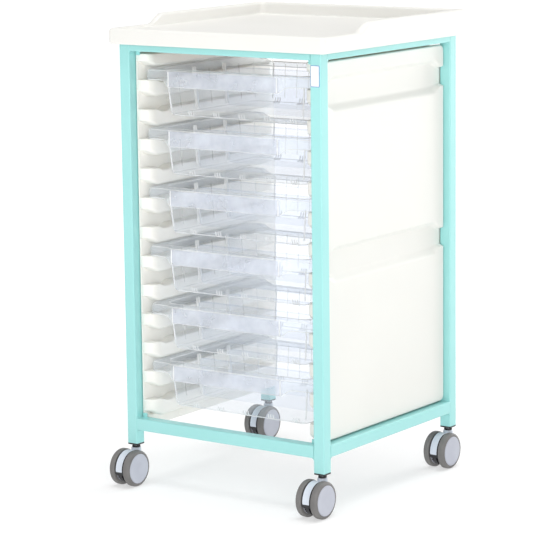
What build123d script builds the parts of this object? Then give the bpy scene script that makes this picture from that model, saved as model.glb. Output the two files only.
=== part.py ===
from build123d import *
import math
import os

os.makedirs("parts", exist_ok=True)

# Mobile cabinet with six clear trays.  Millimetres, +Z up, the front faces -Y.
# X = 0 is the middle of the width and Z = 0 is the floor under the castors.

# ---- driving dimensions: frame ----
FRAME_WIDTH = 490.0
FRAME_DEPTH = 498.0
TUBE = 25.0
TUBE_WALL = 1.5
TUBE_CORNER = 2.5
POST_BOTTOM = 86.0
BOTTOM_RAIL_BOTTOM = 115.0
TOP_RAIL_BOTTOM = 896.0
FRAME_TOP = TOP_RAIL_BOTTOM + TUBE

# ---- driving dimensions: castors ----
WHEEL_RADIUS = 37.5
TRAIL = 24.0
CASTOR_HALF_WIDTH = 26.0
WHEEL_INNER_FACE = 11.0
HUB_RADIUS = 31.0
AXLE_RADIUS = 3.0
STEM_RADIUS = 5.0
SPIGOT_RADIUS = 4.0
RUNNING_CLEARANCE = 0.05

# ---- driving dimensions: worktop ----
OVERHANG = 15.0
SKIRT_BOTTOM = 910.0
RIM_TOP = 942.0
WELL_FLOOR = 937.0
LIP_TOP = 962.0
SHELL = 4.0
LIP_WIDTH = 18.0
TOP_CORNER = 8.0
SIDE_OVERHANG = 17.0

# ---- driving dimensions: trays ----
TRAY_COUNT = 6
TRAY_PITCH = 120.0
FIRST_RIM_TOP = 859.5
TRAY_HEIGHT = 97.0
TRAY_WALL = 2.5
RIM_HALF_WIDTH = 204.0
RIM_FRONT = 28.0
RIM_REAR = 375.0
RIM_SKIRT = 22.0
BODY_FRONT = 49.0
BODY_REAR = 364.0
BODY_HALF_WIDTH = 176.0
BODY_DRAFT = 9.0
HANDLE_FRONT = 13.0
HANDLE_HALF_WIDTH = 131.0
HANDLE_ROOT_HALF_WIDTH = 165.0
HANDLE_TOP_RISE = 0.7
HANDLE_DROP = 33.0
REAR_DIP = 10.0
REAR_DIP_HALF_WIDTH = 150.0
DIVIDER_COUNT = 2
DIVIDER_THICKNESS = 2.0

# ---- driving dimensions: liners and side panels ----
LINER_OUTER = 218.0
LINER_WALL = 3.0
RIDGE_FACE = 187.0
RIDGE_HEIGHT = 35.0
SLOT_PITCH = TRAY_PITCH / 2
LINER_FRONT = 19.0
LINER_REAR = 488.0
RIDGE_REAR = 452.0
LINER_BOTTOM = 121.0
LINER_TOP = 890.0
PANEL_FACE = 231.0
PANEL_GAP = 2.0
TROUGH_DEPTH = 10.0
PANEL_BOTTOM = BOTTOM_RAIL_BOTTOM + TUBE + 3.5
PANEL_TOP = TOP_RAIL_BOTTOM - 5.5

# The wheels trail forwards, so the object's box is centred between them and the worktop's back edge.
WHEEL_FRONT = TUBE / 2 - TRAIL - WHEEL_RADIUS
BACK_EDGE = FRAME_DEPTH + OVERHANG
FRONT = -(WHEEL_FRONT + BACK_EDGE) / 2
POST_X = FRAME_WIDTH / 2 - TUBE / 2
POST_FRONT_Y = FRONT + TUBE / 2
POST_REAR_Y = FRONT + FRAME_DEPTH - TUBE / 2
RAIL_END_X = FRAME_WIDTH / 2 - TUBE

# ---- screws ----
SCREW_RADIUS = 2.0
SCREW_HEAD_RADIUS = 4.2
SCREW_HEAD_HEIGHT = 2.6
SCREW_TIP = WELL_FLOOR - SHELL - 3.0
WORKTOP_SCREW_PLACES = [(x, y) for y in (POST_FRONT_Y, POST_REAR_Y) for x in (-150.0, 0.0, 150.0)]


def block(x0, x1, y0, y1, z0, z1):
    """Box between two corners, with y measured back from the frame's front face."""
    size = (abs(x1 - x0), abs(y1 - y0), abs(z1 - z0))
    centre = ((x0 + x1) / 2, FRONT + (y0 + y1) / 2, (z0 + z1) / 2)
    return Pos(*centre) * Box(*size)


def upright(x, y, z0, z1, radius):
    """Vertical cylinder between two heights, at a place in the part's own frame."""
    return Pos(x, y, (z0 + z1) / 2) * Cylinder(radius, z1 - z0)


def cross_pin(x0, x1, y, z, radius):
    """Cylinder along X, at a place in the part's own frame."""
    return Pos((x0 + x1) / 2, y, z) * Rot(0, 90, 0) * Cylinder(radius, abs(x1 - x0))


def plate(x_half, y0, y1, z0, z1, corner):
    """Flat slab with rounded corners in plan, centred on X = 0."""
    outline = Pos(0, FRONT + (y0 + y1) / 2, z0) * RectangleRounded(2 * x_half, y1 - y0, corner)
    return extrude(outline, z1 - z0)


def edges_near(shape, axis, low, high):
    """Edges whose middle lies between two positions along an axis."""
    return shape.edges().filter_by_position(axis, low, high)


def save(name, shapes):
    """Write one node, as one solid or as a group of separate solids."""
    solids = []
    for shape in shapes:
        solids.extend(shape.solids())
    whole = solids[0] if len(solids) == 1 else Compound(children=solids)
    export_step(whole, f"parts/{name}.step")


def mirrored(shape):
    """The same piece on the other side of the cabinet."""
    return mirror(shape, about=Plane.YZ)


# ---- frame ----
def square_tube(length):
    """Hollow square tube along +Z from the origin."""
    inner = TUBE - 2 * TUBE_WALL
    section = RectangleRounded(TUBE, TUBE, TUBE_CORNER) - RectangleRounded(inner, inner, TUBE_CORNER - TUBE_WALL)
    return extrude(section, length)


def rail_along_x(y, z_bottom):
    length = 2 * RAIL_END_X
    return Pos(-RAIL_END_X, y, z_bottom + TUBE / 2) * Rot(0, 90, 0) * square_tube(length)


def rail_along_y(x, z_bottom):
    length = POST_REAR_Y - POST_FRONT_Y - TUBE
    return Pos(x, POST_FRONT_Y + TUBE / 2, z_bottom + TUBE / 2) * Rot(-90, 0, 0) * square_tube(length)


POST_CENTRES = {
    "front_left": (-POST_X, POST_FRONT_Y),
    "front_right": (POST_X, POST_FRONT_Y),
    "rear_left": (-POST_X, POST_REAR_Y),
    "rear_right": (POST_X, POST_REAR_Y),
}


def drilled_for_worktop(rail):
    """Clearance holes for the worktop screws in a top rail's upper wall."""
    for x, y in WORKTOP_SCREW_PLACES:
        rail -= upright(x, y, FRAME_TOP - TUBE_WALL - 1, FRAME_TOP + 1, SCREW_RADIUS)
    return rail


def build_frame():
    posts = [Pos(x, y, POST_BOTTOM) * square_tube(FRAME_TOP - POST_BOTTOM) for x, y in POST_CENTRES.values()]
    save("frame_posts", posts)
    save("frame_top_rail_front", [drilled_for_worktop(rail_along_x(POST_FRONT_Y, TOP_RAIL_BOTTOM))])
    save("frame_top_rail_rear", [drilled_for_worktop(rail_along_x(POST_REAR_Y, TOP_RAIL_BOTTOM))])
    save("frame_top_rails_side", [rail_along_y(x, TOP_RAIL_BOTTOM) for x in (-POST_X, POST_X)])
    save("frame_bottom_rail_front", [rail_along_x(POST_FRONT_Y, BOTTOM_RAIL_BOTTOM)])
    save("frame_bottom_rails_side", [rail_along_y(x, BOTTOM_RAIL_BOTTOM) for x in (-POST_X, POST_X)])


TAB_WIDTH = 9.0
TAB_HEIGHT = 9.0
TAB_THICKNESS = 3.0
TAB_INSIDE = 206.0


def build_liner_stop_tabs():
    """Small steel tabs on the front rails that keep each liner from sliding forwards."""
    tabs = []
    lower = BOTTOM_RAIL_BOTTOM + TUBE
    for side in (-1, 1):
        x0 = side * TAB_INSIDE
        x1 = side * (TAB_INSIDE + TAB_WIDTH)
        y1 = LINER_FRONT - 0.5
        tabs.append(block(x0, x1, y1 - TAB_THICKNESS, y1, lower, lower + TAB_HEIGHT))
        tabs.append(block(x0, x1, y1 - TAB_THICKNESS, y1, TOP_RAIL_BOTTOM - TAB_HEIGHT, TOP_RAIL_BOTTOM))
    save("liner_stop_tabs", tabs)


# ---- end inserts and castor stems ----
INSERT_FLANGE = 3.0
INSERT_PLUG_LENGTH = 30.0
INSERT_SIDE_GAP = 0.2
NECK_HEIGHT = 3.0
NECK_RADIUS = 5.8
RING_RADIUS = 8.5
RING_HEIGHT = 3.5
FLANGE_BOTTOM = POST_BOTTOM - INSERT_FLANGE
NECK_BOTTOM = FLANGE_BOTTOM - NECK_HEIGHT
RING_BOTTOM = NECK_BOTTOM - RING_HEIGHT
SPIGOT_BOTTOM = 52.0


def end_insert(x, y):
    plug_side = TUBE - 2 * TUBE_WALL - 2 * INSERT_SIDE_GAP
    flange = Pos(x, y, FLANGE_BOTTOM) * extrude(RectangleRounded(TUBE, TUBE, TUBE_CORNER), INSERT_FLANGE)
    plug = Pos(x, y, POST_BOTTOM) * extrude(RectangleRounded(plug_side, plug_side, 1.0), INSERT_PLUG_LENGTH)
    socket = upright(x, y, FLANGE_BOTTOM - 1, POST_BOTTOM + INSERT_PLUG_LENGTH + 1, STEM_RADIUS + 0.02)
    return flange + plug - socket


def castor_stem(x, y):
    upper = upright(x, y, FLANGE_BOTTOM, POST_BOTTOM + INSERT_PLUG_LENGTH - 2, STEM_RADIUS)
    upper = chamfer(upper.edges().group_by(Axis.Z)[-1], 1.0)
    neck = upright(x, y, NECK_BOTTOM, FLANGE_BOTTOM, NECK_RADIUS)
    spigot = upright(x, y, SPIGOT_BOTTOM, NECK_BOTTOM, SPIGOT_RADIUS)
    spigot = chamfer(spigot.edges().group_by(Axis.Z)[0], 0.8)
    return upper + neck + spigot


def bearing_ring(x, y):
    ring = upright(x, y, RING_BOTTOM, NECK_BOTTOM, RING_RADIUS)
    ring = fillet(ring.edges(), 0.6)
    return ring - upright(x, y, RING_BOTTOM - 1, NECK_BOTTOM + 1, SPIGOT_RADIUS + 0.02)


def build_stems():
    centres = POST_CENTRES.values()
    save("post_end_inserts", [end_insert(x, y) for x, y in centres])
    save("castor_stems", [castor_stem(x, y) for x, y in centres])
    save("castor_bearing_rings", [bearing_ring(x, y) for x, y in centres])


# ---- castors ----
COLLAR_RADIUS = 10.2
COLLAR_BOTTOM = 58.0
COLLAR_TOP = RING_BOTTOM - 0.4
SLEEVE_RADIUS = 7.5
HOOD_HALF_WIDTH = 9.5
HOOD_OUTER = 36.3
HOOD_THICKNESS = 3.0
HOOD_START = 33.0
HOOD_END = 186.0
WEB_RADIUS = HOOD_OUTER - HOOD_THICKNESS - 0.1
WEB_HALF_WIDTH = 4.0
BOSS_RADIUS = 8.0
BOSS_HALF_WIDTH = WHEEL_INNER_FACE - 0.4
RIB_COUNT = 5
RIB_HALF_WIDTH = 8.5


def on_side_plane(x):
    """Sketch plane facing +X whose first axis runs along +Y and second along +Z."""
    return Plane(origin=(x, 0, 0), x_dir=(0, 1, 0), z_dir=(1, 0, 0))


def ring_sector(y, z, inner, outer, start, end, half_width, x):
    """Part of a ring around an axis along X, between two angles measured from +Y up to +Z."""
    span = math.radians(end - start)
    steps = [math.radians(start) + span * share for share in (0.0, 0.5, 1.0)]
    out = [(y + outer * math.cos(a), z + outer * math.sin(a)) for a in steps]
    back = [(y + inner * math.cos(a), z + inner * math.sin(a)) for a in reversed(steps)]
    outline = [ThreePointArc(*out), Line(out[-1], back[0]), ThreePointArc(*back), Line(back[-1], out[0])]
    face = on_side_plane(x - half_width) * make_face(outline)
    return extrude(face, 2 * half_width, dir=(1, 0, 0))


def castor_hood(x, y):
    """Light outer moulding: the collar round the stem and the curved guard between the wheels."""
    hub_y = y - TRAIL
    guard = ring_sector(hub_y, WHEEL_RADIUS, HOOD_OUTER - HOOD_THICKNESS, HOOD_OUTER, HOOD_START, HOOD_END,
                        HOOD_HALF_WIDTH, x)
    collar = upright(x, y, COLLAR_BOTTOM, COLLAR_TOP, COLLAR_RADIUS)
    collar = fillet(collar.edges().group_by(Axis.Z)[-1], 1.5)
    return guard + collar - upright(x, y, COLLAR_BOTTOM - 20, COLLAR_TOP + 1, SLEEVE_RADIUS)


def castor_body(x, y):
    """Dark inner moulding: the sleeve round the spigot, the web, its ribs and the axle boss."""
    hub_y = y - TRAIL
    web = ring_sector(hub_y, WHEEL_RADIUS, BOSS_RADIUS - 1, WEB_RADIUS, 20.0, 236.0, WEB_HALF_WIDTH, x)
    boss = cross_pin(x - BOSS_HALF_WIDTH, x + BOSS_HALF_WIDTH, hub_y, WHEEL_RADIUS, BOSS_RADIUS)
    web -= upright(x, y, COLLAR_BOTTOM - 0.1, COLLAR_TOP + 1, COLLAR_RADIUS + 0.1)
    body = web + boss
    for index in range(RIB_COUNT):
        angle = 190.0 + 11.0 * index
        body += ring_sector(hub_y, WHEEL_RADIUS, BOSS_RADIUS - 1, WEB_RADIUS - 2, angle, angle + 3.5,
                            RIB_HALF_WIDTH, x)
    sleeve = upright(x, y, SPIGOT_BOTTOM - 4, COLLAR_TOP, SLEEVE_RADIUS - 0.02)
    body += sleeve
    body -= upright(x, y, SPIGOT_BOTTOM - 1.5, COLLAR_TOP + 1, SPIGOT_RADIUS + RUNNING_CLEARANCE)
    return body - cross_pin(x - 30, x + 30, hub_y, WHEEL_RADIUS, AXLE_RADIUS)


def castor_axle(x, y):
    end = CASTOR_HALF_WIDTH - 3.5
    pin = cross_pin(x - end, x + end, y - TRAIL, WHEEL_RADIUS, AXLE_RADIUS)
    return chamfer(pin.edges().filter_by(GeomType.CIRCLE), 0.6)


def turned(points, y, x):
    """Solid of revolution about an axis along X; points are (distance from the castor's middle, radius)."""
    outline = Polyline(*points, close=True)
    profile = Plane(origin=(x, y, WHEEL_RADIUS), x_dir=(1, 0, 0), z_dir=(0, -1, 0)) * make_face(outline)
    return revolve(profile, Axis((x, y, WHEEL_RADIUS), (1, 0, 0)), 360)


def wheel_tyre(x, y, side):
    inner = side * WHEEL_INNER_FACE
    outer = side * (CASTOR_HALF_WIDTH - 0.5)
    tyre = turned([(inner, HUB_RADIUS), (inner, WHEEL_RADIUS), (outer, WHEEL_RADIUS), (outer, HUB_RADIUS)],
                  y - TRAIL, x)
    rims = tyre.edges().filter_by(GeomType.CIRCLE).sort_by(SortBy.RADIUS)[-2:].sort_by(Axis.X)
    shoulder = rims[-1] if side > 0 else rims[0]
    tyre = fillet(shoulder, 4.5)
    rims = tyre.edges().filter_by(GeomType.CIRCLE).sort_by(Axis.X)
    inside = rims[0:2] if side > 0 else rims[-2:]
    return fillet(inside.sort_by(SortBy.RADIUS)[-1:], 2.0)


def wheel_hub(x, y, side):
    """Hollow hub: bored boss, web, rim, and the closed disc that shows on the outside."""
    bore = AXLE_RADIUS + RUNNING_CLEARANCE
    rim = HUB_RADIUS - 0.02
    cover = CASTOR_HALF_WIDTH - 2.6
    face = CASTOR_HALF_WIDTH
    inner = WHEEL_INNER_FACE + 0.4
    points = [(inner, bore), (inner, 7.0), (16.0, 7.0), (16.0, 28.0), (inner, 28.0), (inner, rim), (face - 0.8, rim),
              (face, rim - 1.6), (face - 0.5, 20.0), (face - 0.3, 0.0), (cover, 0.0), (cover, 27.0), (19.0, 27.0),
              (19.0, 7.0), (22.6, 7.0), (22.6, bore)]
    return turned([(side * px, r) for px, r in points], y - TRAIL, x)


def build_castors():
    for name, (x, y) in POST_CENTRES.items():
        save(f"castor_{name}_hood", [castor_hood(x, y)])
        save(f"castor_{name}_body", [castor_body(x, y)])
        save(f"castor_{name}_axle", [castor_axle(x, y)])
        for side, side_name in ((-1, "left"), (1, "right")):
            save(f"castor_{name}_{side_name}_tyre", [wheel_tyre(x, y, side)])
            save(f"castor_{name}_{side_name}_hub", [wheel_hub(x, y, side)])


# ---- worktop ----
LIP_FRONT_START = 110.0
LIP_FRONT_FULL = 152.0
LIP_ROUNDING = 6.0
WELL_MARGIN = 13.0


def worktop_lip(half_width):
    """Raised border on the left, back and right, with sloping front ends."""
    outer = plate(half_width, -OVERHANG, BACK_EDGE, RIM_TOP - 8, LIP_TOP, TOP_CORNER)
    inner_half = half_width - LIP_WIDTH
    inside = plate(inner_half, -OVERHANG - 40, BACK_EDGE - LIP_WIDTH, RIM_TOP - 9, LIP_TOP + 1, 12.0)
    lip = outer - inside
    y0 = FRONT - OVERHANG - 5
    start = FRONT + LIP_FRONT_START
    full = FRONT + LIP_FRONT_FULL
    middle = (start + full) / 2
    half_rise = (LIP_TOP + RIM_TOP) / 2
    low = RIM_TOP - 9
    curve = Spline([(start, RIM_TOP - 1), (middle, half_rise), (full, LIP_TOP)], tangents=[(1, 0), (1, 0)])
    outline = [curve, Line((full, LIP_TOP), (full, LIP_TOP + 5)), Line((full, LIP_TOP + 5), (y0, LIP_TOP + 5)),
               Line((y0, LIP_TOP + 5), (y0, low)), Line((y0, low), (start, low)),
               Line((start, low), (start, RIM_TOP - 1))]
    cutter = extrude(on_side_plane(-half_width - 5) * make_face(outline), 2 * half_width + 10, dir=(1, 0, 0))
    lip -= cutter
    slopes = lip.edges().filter_by(GeomType.BSPLINE)
    ridges = [edge for edge in lip.edges() if edge.center().Z > LIP_TOP - 1 and edge.length > LIP_WIDTH + 0.1]
    return fillet(slopes + ridges, LIP_ROUNDING)


def build_worktop():
    half = FRAME_WIDTH / 2 + SIDE_OVERHANG
    slab = plate(half, -OVERHANG, BACK_EDGE, SKIRT_BOTTOM, RIM_TOP, TOP_CORNER)
    slab = fillet(slab.edges().group_by(Axis.Z)[-1], 7.0)
    slab = fillet(slab.edges().group_by(Axis.Z)[0], 2.0)
    shell = slab + worktop_lip(half)
    well = plate(half - LIP_WIDTH, WELL_MARGIN - OVERHANG, BACK_EDGE - LIP_WIDTH, WELL_FLOOR, RIM_TOP + 1, 12.0)
    shell -= well
    core_half = half - SHELL - 2
    under = plate(half - SHELL, SHELL - OVERHANG, BACK_EDGE - SHELL, SKIRT_BOTTOM - 1, WELL_FLOOR - SHELL,
                  TOP_CORNER - SHELL)
    shell -= under
    save("worktop_shell", [shell])
    core = plate(core_half, SHELL + 2 - OVERHANG, BACK_EDGE - SHELL - 2, FRAME_TOP, WELL_FLOOR - SHELL, 10.0)
    screws = []
    for x, y in WORKTOP_SCREW_PLACES:
        screws.append(worktop_screw(x, y))
        core -= upright(x, y, FRAME_TOP - 1, SCREW_TIP + 1, SCREW_RADIUS)
    save("worktop_core", [core])
    save("worktop_screws", screws)


def worktop_screw(x, y):
    """Screw from inside the top rail's upper wall into the core board."""
    wall = FRAME_TOP - TUBE_WALL
    head = upright(x, y, wall - SCREW_HEAD_HEIGHT, wall, SCREW_HEAD_RADIUS)
    head = fillet(head.edges().group_by(Axis.Z)[0], 1.2)
    return head + upright(x, y, wall, SCREW_TIP, SCREW_RADIUS)


# ---- side panels ----
PANEL_FRONT = TUBE + PANEL_GAP
PANEL_REAR = FRAME_DEPTH - TUBE - PANEL_GAP
PANEL_WALL = 3.0
PANEL_CORNER = 12.0
TROUGH_TOPS = (863.0, 528.0)
TROUGH_HEIGHT = 73.0
NECK_HALF_HEIGHT = 20.5
TROUGH_FRONT = 72.0
TROUGH_REAR = PANEL_REAR + PANEL_FRONT - TROUGH_FRONT
NECK_LENGTH = 12.0


def trough_outline(top, grow):
    """Long trough with a narrower neck at each end, in Y and Z; grow makes it larger all round."""
    upper = top + grow
    lower = top - TROUGH_HEIGHT - grow
    middle = top - TROUGH_HEIGHT / 2
    neck_top = middle + NECK_HALF_HEIGHT + grow
    neck_low = middle - NECK_HALF_HEIGHT - grow
    y_end = FRONT + PANEL_FRONT - 5
    y_neck = FRONT + PANEL_FRONT + NECK_LENGTH
    y_body = FRONT + TROUGH_FRONT - grow
    y_far_end = FRONT + PANEL_REAR + 5
    y_far_neck = FRONT + PANEL_REAR - NECK_LENGTH
    y_far_body = FRONT + TROUGH_REAR + grow
    points = [(y_end, neck_low), (y_neck, neck_low), (y_body, lower), (y_far_body, lower), (y_far_neck, neck_low),
              (y_far_end, neck_low), (y_far_end, neck_top), (y_far_neck, neck_top), (y_far_body, upper), (y_body, upper),
              (y_neck, neck_top), (y_end, neck_top)]
    face = make_face(Polyline(*points, close=True))
    ends = (y_end, y_far_end)
    inner_corners = [v for v in face.vertices() if all(abs(v.X - e) > 1 for e in ends)]
    return fillet(inner_corners, 11.0)


def side_panel():
    """Right-hand outer panel: a shallow pan, open inwards, with two troughs pressed into its face."""
    width = PANEL_REAR - PANEL_FRONT
    height = PANEL_TOP - PANEL_BOTTOM
    centre = (FRONT + (PANEL_FRONT + PANEL_REAR) / 2, (PANEL_BOTTOM + PANEL_TOP) / 2)
    back = on_side_plane(LINER_OUTER)
    outline = Pos(*centre) * RectangleRounded(width, height, PANEL_CORNER)
    pan = extrude(back * outline, PANEL_FACE - LINER_OUTER, dir=(1, 0, 0))
    pan = fillet(pan.edges().group_by(Axis.X)[-1], 2.5)
    hollow = RectangleRounded(width - 2 * PANEL_WALL, height - 2 * PANEL_WALL, PANEL_CORNER - PANEL_WALL)
    hollow = Pos(*centre) * hollow
    pan -= extrude(back * hollow, PANEL_FACE - PANEL_WALL - LINER_OUTER, dir=(1, 0, 0))
    envelope = extrude(back * outline, PANEL_FACE - LINER_OUTER - 0.6, dir=(1, 0, 0))
    floor = PANEL_FACE - TROUGH_DEPTH
    for top in TROUGH_TOPS:
        wall = extrude(back * trough_outline(top, PANEL_WALL), PANEL_FACE - LINER_OUTER, dir=(1, 0, 0))
        pan += wall & envelope
    for top in TROUGH_TOPS:
        cut = extrude(on_side_plane(floor) * trough_outline(top, 0.0), TROUGH_DEPTH + 2, dir=(1, 0, 0))
        pan -= cut
    return pan


# ---- runner liners ----
LOWEST_RIDGE = 11
LEAD_IN_LENGTH = 26.0
LEAD_IN_RISE = 13.0
FOOT_FACE = 202.0
FOOT_TOP = BOTTOM_RAIL_BOTTOM + TUBE + 3.0
FIXING_HOLE_RADIUS = 6.0
FIXING_HOLE_Z = 131.0
FIXING_HOLES_Y = (114.0, 393.0)
RIDGE_TOP_FIRST = FIRST_RIM_TOP - RIM_SKIRT - 0.5


def ridge(z0, z1, face, grow):
    """Tongue that stands out of the right-hand liner, flared at its front end; grow shrinks the core."""
    wide = LINER_OUTER - face - grow
    y0 = LINER_FRONT + grow
    y1 = RIDGE_REAR - grow
    if grow > 0:
        y0 += LEAD_IN_LENGTH
    tongue = block(face + grow, LINER_OUTER, y0, y1, z0 + grow, z1 - grow)
    uprights = tongue.edges().filter_by(Axis.Z).sort_by(Axis.X)[:2].sort_by(Axis.Y)
    tongue = fillet(uprights[0], wide * 0.8)
    uprights = tongue.edges().filter_by(Axis.Z).sort_by(Axis.X)[:2].sort_by(Axis.Y)
    tongue = fillet(uprights[-1], wide * 0.3)
    rims = tongue.faces().sort_by(Axis.Z)
    return tongue, rims


def rounded_ridge(z0, z1, face, grow, top_radius, low_radius):
    tongue, rims = ridge(z0, z1, face, grow)
    back = LINER_OUTER - 0.01
    low = [e for e in rims[0].edges() if e.center().X < back - 0.2]
    tongue = fillet(low, low_radius)
    high_face = tongue.faces().sort_by(Axis.Z)[-1]
    high = [e for e in high_face.edges() if e.center().X < back - 0.2]
    return fillet(high, top_radius) - lead_in(z0)


def lead_in(z0):
    """Wedge under the front end of a ridge, which lets a tray's rim find the slot below."""
    y0 = FRONT + LINER_FRONT - 1
    y1 = FRONT + LINER_FRONT + LEAD_IN_LENGTH
    outline = Polyline((y0, z0 - 1), (y1, z0 - 1), (y1, z0), (y0, z0 + LEAD_IN_RISE), close=True)
    wedge = on_side_plane(RIDGE_FACE - 1) * make_face(outline)
    return extrude(wedge, LINER_OUTER - LINER_WALL - RIDGE_FACE + 1, dir=(1, 0, 0))


def ridge_levels():
    """Bottom and top of every ridge, from the top of the liner down."""
    levels = [(FIRST_RIM_TOP + 3.5, LINER_TOP - 0.5)]
    for index in range(LOWEST_RIDGE + 1):
        top = RIDGE_TOP_FIRST - SLOT_PITCH * index
        levels.append((top - RIDGE_HEIGHT, top))
    return levels


def runner_liner():
    """Right-hand liner: a thin back with hollow ridges, and a foot with two fixing holes."""
    liner = block(LINER_OUTER - LINER_WALL, LINER_OUTER, LINER_FRONT, LINER_REAR, LINER_BOTTOM, LINER_TOP)
    cores = []
    for low, high in ridge_levels():
        liner += rounded_ridge(low, high, RIDGE_FACE, 0.0, 3.0, 6.0)
        core, _ = ridge(low, high, RIDGE_FACE, LINER_WALL)
        cores.append(core)
    foot = block(FOOT_FACE, LINER_OUTER, LINER_FRONT + 6, LINER_REAR - 6, LINER_BOTTOM, FOOT_TOP)
    foot = fillet(foot.edges().filter_by(Axis.Z).sort_by(Axis.X)[:2], 10.0)
    liner += foot
    rail_top = BOTTOM_RAIL_BOTTOM + TUBE
    liner -= block(FOOT_FACE - 1, LINER_OUTER + 1, LINER_FRONT - 1, TUBE + 0.5, LINER_BOTTOM - 1, rail_top + 0.5)
    cores.append(block(FOOT_FACE + LINER_WALL, LINER_OUTER, LINER_FRONT + 20, LINER_REAR - 20,
                       LINER_BOTTOM + LINER_WALL, FOOT_TOP - LINER_WALL))
    for core in cores:
        liner -= core
    for y in FIXING_HOLES_Y:
        liner -= cross_pin(FOOT_FACE - 5, LINER_OUTER + 5, FRONT + y, FIXING_HOLE_Z, FIXING_HOLE_RADIUS)
    return liner


PANEL_SCREW_LENGTH = 5.4
PANEL_SCREWS_Y = (120.0, 378.0)


def panel_screw(y, z):
    """Short screw from a liner slot into the floor of a panel trough."""
    seat = LINER_OUTER - LINER_WALL
    head = cross_pin(seat - 2.4, seat, FRONT + y, z, 4.0)
    head = fillet(head.edges().group_by(Axis.X)[0], 1.0)
    return head + cross_pin(seat, seat + PANEL_SCREW_LENGTH, FRONT + y, z, SCREW_RADIUS)


def panel_screw_heights():
    """The free slot that lies behind each trough."""
    slots = [RIDGE_TOP_FIRST - SLOT_PITCH * index + 13.0 for index in range(LOWEST_RIDGE + 1)]
    heights = []
    for top in TROUGH_TOPS:
        middle = top - TROUGH_HEIGHT / 2
        free = slots[1::2]
        heights.append(min(free, key=lambda z: abs(z - middle)))
    return heights


def build_sides():
    panel = side_panel()
    liner = runner_liner()
    screws = []
    for z in panel_screw_heights():
        for y in PANEL_SCREWS_Y:
            hole = cross_pin(LINER_OUTER - 10, LINER_OUTER + 2.42, FRONT + y, z, SCREW_RADIUS)
            panel -= hole
            liner -= hole
            screws.append(panel_screw(y, z))
    save("side_panel_right", [panel])
    save("side_panel_left", [mirrored(panel)])
    save("runner_liner_right", [liner])
    save("runner_liner_left", [mirrored(liner)])
    save("panel_screws", screws + [mirrored(screw) for screw in screws])


# ---- trays ----
def tray_shape(rim_top, inset, floor, top):
    """Drafted, round-cornered tub; inset moves its walls inwards."""
    depth = rim_top - floor
    draft = BODY_DRAFT * depth / TRAY_HEIGHT
    sections = []
    for z, taper in ((floor, draft), (top, -BODY_DRAFT * (top - rim_top) / TRAY_HEIGHT)):
        half = BODY_HALF_WIDTH - inset - taper
        y0 = BODY_FRONT + inset + taper * 0.65
        y1 = BODY_REAR - inset - taper * 0.65
        sections.append(Pos(0, FRONT + (y0 + y1) / 2, z) * RectangleRounded(2 * half, y1 - y0, 20.0 - inset))
    return loft(sections)


def handle_outline(grow, z):
    """Plan of the lip in front of the tray: straight middle, with curved shoulders back to the rim."""
    root = HANDLE_ROOT_HALF_WIDTH - grow
    half = HANDLE_HALF_WIDTH - grow * 0.6
    y_root = FRONT + RIM_FRONT
    y_front = FRONT + HANDLE_FRONT + grow
    y_back = FRONT + BODY_FRONT + 1.5
    points = [(-root, y_back), (-root, y_root), (-half, y_front), (half, y_front), (root, y_root), (root, y_back)]
    face = make_face(Polyline(*points, close=True))
    corners = face.vertices().filter_by_position(Axis.Y, y_front - 1, y_root + 1)
    return Pos(0, 0, z) * fillet(corners, 9.0)


def tray(rim_top):
    floor = rim_top - TRAY_HEIGHT
    outside = tray_shape(rim_top, 0.0, floor, rim_top)
    outside = fillet(outside.edges().group_by(Axis.Z)[0], 7.0)
    inside = tray_shape(rim_top, TRAY_WALL, floor + TRAY_WALL, rim_top + 6)
    inside = fillet(inside.edges().group_by(Axis.Z)[0], 5.0)
    lip = plate(RIM_HALF_WIDTH, RIM_FRONT, RIM_REAR, rim_top - RIM_SKIRT, rim_top, 14.0)
    lip = fillet(lip.edges().group_by(Axis.Z)[-1], 3.0)
    under = plate(RIM_HALF_WIDTH - TRAY_WALL, RIM_FRONT + TRAY_WALL, RIM_REAR - TRAY_WALL, rim_top - RIM_SKIRT - 1,
                  rim_top - TRAY_WALL, 14.0 - TRAY_WALL)
    handle_top = rim_top + HANDLE_TOP_RISE
    handle = extrude(handle_outline(0.0, rim_top - HANDLE_DROP), HANDLE_TOP_RISE + HANDLE_DROP)
    handle = fillet(handle.edges().group_by(Axis.Z)[-1].filter_by_position(
        Axis.Y, FRONT + HANDLE_FRONT - 1, FRONT + RIM_FRONT + 3), 3.0)
    grip_height = HANDLE_DROP + HANDLE_TOP_RISE + 1 - TRAY_WALL
    grip = extrude(handle_outline(TRAY_WALL, rim_top - HANDLE_DROP - 1), grip_height)
    back_cut = block(-BODY_HALF_WIDTH, BODY_HALF_WIDTH, BODY_FRONT, BODY_FRONT + 9, floor, handle_top - TRAY_WALL)
    flange = lip - under + handle - grip
    tub = flange - (back_cut & inside) + (outside - grip) - inside
    return lowered_rear(tub, rim_top)


def lowered_rear(tub, rim_top):
    """Drop the middle of the rear rim to a lower ledge."""
    low = rim_top - REAR_DIP
    front = BODY_REAR - TRAY_WALL - 1
    tub -= block(-REAR_DIP_HALF_WIDTH, REAR_DIP_HALF_WIDTH, front - 3, RIM_REAR + 1, low, rim_top + 1)
    tub += block(-REAR_DIP_HALF_WIDTH, REAR_DIP_HALF_WIDTH, front, RIM_REAR - 1, low - TRAY_WALL, low)
    for side in (-1, 1):
        x0 = side * REAR_DIP_HALF_WIDTH
        tub += block(x0, x0 + side * TRAY_WALL, front, RIM_REAR - 1, low - TRAY_WALL, rim_top - 1)
    return tub


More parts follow.
